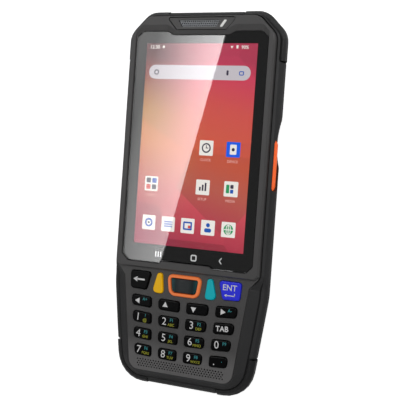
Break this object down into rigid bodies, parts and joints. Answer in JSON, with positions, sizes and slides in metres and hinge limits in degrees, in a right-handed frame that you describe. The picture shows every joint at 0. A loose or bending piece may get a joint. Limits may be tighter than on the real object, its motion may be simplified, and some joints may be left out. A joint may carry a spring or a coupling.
{
  "type": "portable barcode data terminal",
  "caption": "Hand-held data terminal with a touch screen, a moulded keypad with a ringed scan key, side scan triggers, a top scanner window, corner bumpers and a hinged battery cover.",
  "frame": {"origin": "centre of the footprint on the surface the terminal lies on", "axes": "+Z out of the screen, +Y along the length towards the earpiece, +X towards the right side of the screen"},
  "size_m": [0.074, 0.1624, 0.0218],
  "materials": {
    "shell_grey": "fine spark-eroded grain",
    "rubber_black": "satin overmould",
    "bumper_black": "satin overmould",
    "shell_black": "fine grain",
    "glass": "polished",
    "mask_black": "printed black",
    "display": "lit display",
    "mesh_black": "fine mesh",
    "lens_clear": "clear light guide",
    "metal_grey": "stamped",
    "orange_gloss": "moulded gloss",
    "orange_matte": "moulded satin",
    "key_black": "moulded gloss",
    "key_smoke": "moulded gloss",
    "key_yellow": "moulded gloss",
    "key_cyan": "moulded gloss",
    "key_blue": "moulded gloss",
    "silicone_grey": "silicone",
    "board_green": "solder mask",
    "battery_black": "wrapped cell",
    "gold": "plated",
    "engine_black": "moulded",
    "window_red": "tinted",
    "side_key_black": "moulded satin",
    "steel": "plated",
    "glass_dark": "coated"
  },
  "bodies": {
    "terminal": {"front_housing": "shell_grey", "rubber_frame": "rubber_black", "back_housing": "shell_black", "bumper_top_left": "bumper_black", "bumper_top_right": "bumper_black", "bumper_tail_left": "bumper_black", "bumper_tail_right": "bumper_black", "cover_glass": "glass", "screen_mask": "mask_black", "display_panel": "display", "earpiece_panel": "shell_grey", "earpiece_grille": "mesh_black", "status_lens": "lens_clear", "earpiece": "metal_grey", "scan_ring": "orange_gloss", "keypad_mat": "silicone_grey", "keypad_board": "board_green", "loudspeaker": "shell_black", "main_board": "board_green", "shield_cans": "metal_grey", "battery_pack": "battery_black", "battery_contacts": "gold", "scan_engine": "engine_black", "scan_window": "window_red", "side_switches": "metal_grey", "port_hinge_pin": "steel", "usb_connector": "steel", "camera_module": "engine_black", "camera_window": "glass_dark", "flash_lens": "lens_clear", "screws": "steel", "vibration_motor": "metal_grey"},
    "scan_key": {"scan_key": "key_smoke"},
    "back_key": {"back_key": "key_black"},
    "yellow_key": {"yellow_key": "key_yellow"},
    "cyan_key": {"cyan_key": "key_cyan"},
    "enter_key": {"enter_key": "key_blue"},
    "left_key": {"left_key": "key_black"},
    "up_key": {"up_key": "key_black"},
    "down_key": {"down_key": "key_black"},
    "right_key": {"right_key": "key_black"},
    "key_1": {"key_1": "key_black"},
    "key_2": {"key_2": "key_black"},
    "key_3": {"key_3": "key_black"},
    "key_4": {"key_4": "key_black"},
    "key_5": {"key_5": "key_black"},
    "key_6": {"key_6": "key_black"},
    "key_7": {"key_7": "key_black"},
    "key_8": {"key_8": "key_black"},
    "key_9": {"key_9": "key_black"},
    "key_0": {"key_0": "key_black"},
    "tab_key": {"tab_key": "key_black"},
    "point_key": {"point_key": "key_black"},
    "trigger_left": {"trigger_left": "orange_matte"},
    "trigger_right": {"trigger_right": "orange_matte"},
    "power_key": {"power_key": "side_key_black"},
    "volume_key": {"volume_key": "side_key_black"},
    "port_cover": {"port_cover": "rubber_black"},
    "battery_cover": {"battery_cover": "shell_black"},
    "battery_latch": {"battery_latch": "orange_matte"}
  },
  "joints": [
    {"name": "press_scan_key", "type": "slide", "parent": "terminal", "child": "scan_key", "axis": [0, 0, -1], "range_m": [0, 0.0005], "stiffness_N_per_m": 1500},
    {"name": "press_back_key", "type": "slide", "parent": "terminal", "child": "back_key", "axis": [0, 0, -1], "range_m": [0, 0.0005], "stiffness_N_per_m": 1500},
    {"name": "press_yellow_key", "type": "slide", "parent": "terminal", "child": "yellow_key", "axis": [0, 0, -1], "range_m": [0, 0.0005], "stiffness_N_per_m": 1500},
    {"name": "press_cyan_key", "type": "slide", "parent": "terminal", "child": "cyan_key", "axis": [0, 0, -1], "range_m": [0, 0.0005], "stiffness_N_per_m": 1500},
    {"name": "press_enter_key", "type": "slide", "parent": "terminal", "child": "enter_key", "axis": [0, 0, -1], "range_m": [0, 0.0005], "stiffness_N_per_m": 1500},
    {"name": "press_left_key", "type": "slide", "parent": "terminal", "child": "left_key", "axis": [0, 0, -1], "range_m": [0, 0.0005], "stiffness_N_per_m": 1500},
    {"name": "press_up_key", "type": "slide", "parent": "terminal", "child": "up_key", "axis": [0, 0, -1], "range_m": [0, 0.0005], "stiffness_N_per_m": 1500},
    {"name": "press_down_key", "type": "slide", "parent": "terminal", "child": "down_key", "axis": [0, 0, -1], "range_m": [0, 0.0005], "stiffness_N_per_m": 1500},
    {"name": "press_right_key", "type": "slide", "parent": "terminal", "child": "right_key", "axis": [0, 0, -1], "range_m": [0, 0.0005], "stiffness_N_per_m": 1500},
    {"name": "press_key_1", "type": "slide", "parent": "terminal", "child": "key_1", "axis": [0, 0, -1], "range_m": [0, 0.0005], "stiffness_N_per_m": 1500},
    {"name": "press_key_2", "type": "slide", "parent": "terminal", "child": "key_2", "axis": [0, 0, -1], "range_m": [0, 0.0005], "stiffness_N_per_m": 1500},
    {"name": "press_key_3", "type": "slide", "parent": "terminal", "child": "key_3", "axis": [0, 0, -1], "range_m": [0, 0.0005], "stiffness_N_per_m": 1500},
    {"name": "press_key_4", "type": "slide", "parent": "terminal", "child": "key_4", "axis": [0, 0, -1], "range_m": [0, 0.0005], "stiffness_N_per_m": 1500},
    {"name": "press_key_5", "type": "slide", "parent": "terminal", "child": "key_5", "axis": [0, 0, -1], "range_m": [0, 0.0005], "stiffness_N_per_m": 1500},
    {"name": "press_key_6", "type": "slide", "parent": "terminal", "child": "key_6", "axis": [0, 0, -1], "range_m": [0, 0.0005], "stiffness_N_per_m": 1500},
    {"name": "press_key_7", "type": "slide", "parent": "terminal", "child": "key_7", "axis": [0, 0, -1], "range_m": [0, 0.0005], "stiffness_N_per_m": 1500},
    {"name": "press_key_8", "type": "slide", "parent": "terminal", "child": "key_8", "axis": [0, 0, -1], "range_m": [0, 0.0005], "stiffness_N_per_m": 1500},
    {"name": "press_key_9", "type": "slide", "parent": "terminal", "child": "key_9", "axis": [0, 0, -1], "range_m": [0, 0.0005], "stiffness_N_per_m": 1500},
    {"name": "press_key_0", "type": "slide", "parent": "terminal", "child": "key_0", "axis": [0, 0, -1], "range_m": [0, 0.0005], "stiffness_N_per_m": 1500},
    {"name": "press_tab_key", "type": "slide", "parent": "terminal", "child": "tab_key", "axis": [0, 0, -1], "range_m": [0, 0.0005], "stiffness_N_per_m": 1500},
    {"name": "press_point_key", "type": "slide", "parent": "terminal", "child": "point_key", "axis": [0, 0, -1], "range_m": [0, 0.0005], "stiffness_N_per_m": 1500},
    {"name": "press_trigger_left", "type": "slide", "parent": "terminal", "child": "trigger_left", "axis": [1, 0, 0], "range_m": [0, 0.0006], "stiffness_N_per_m": 3000},
    {"name": "press_trigger_right", "type": "slide", "parent": "terminal", "child": "trigger_right", "axis": [-1, 0, 0], "range_m": [0, 0.0006], "stiffness_N_per_m": 3000},
    {"name": "press_power_key", "type": "slide", "parent": "terminal", "child": "power_key", "axis": [1, 0, 0], "range_m": [0, 0.0006], "stiffness_N_per_m": 2500},
    {"name": "rock_volume_key", "type": "hinge", "parent": "terminal", "child": "volume_key", "pos_m": [-0.03145, 0.042, 0.0142], "axis": [0, 0, 1], "range_deg": [-2, 2], "stiffness_Nm_per_rad": 0.2},
    {"name": "open_port_cover", "type": "hinge", "parent": "terminal", "child": "port_cover", "pos_m": [0, -0.0798, 0.0093], "axis": [1, 0, 0], "range_deg": [0, 100]},
    {"name": "open_battery_cover", "type": "hinge", "parent": "terminal", "child": "battery_cover", "pos_m": [0, 0.0253, 0.0009], "axis": [1, 0, 0], "range_deg": [0, 75]},
    {"name": "slide_battery_latch", "type": "slide", "parent": "terminal", "child": "battery_latch", "axis": [0, -1, 0], "range_m": [0, 0.003]}
  ]
}
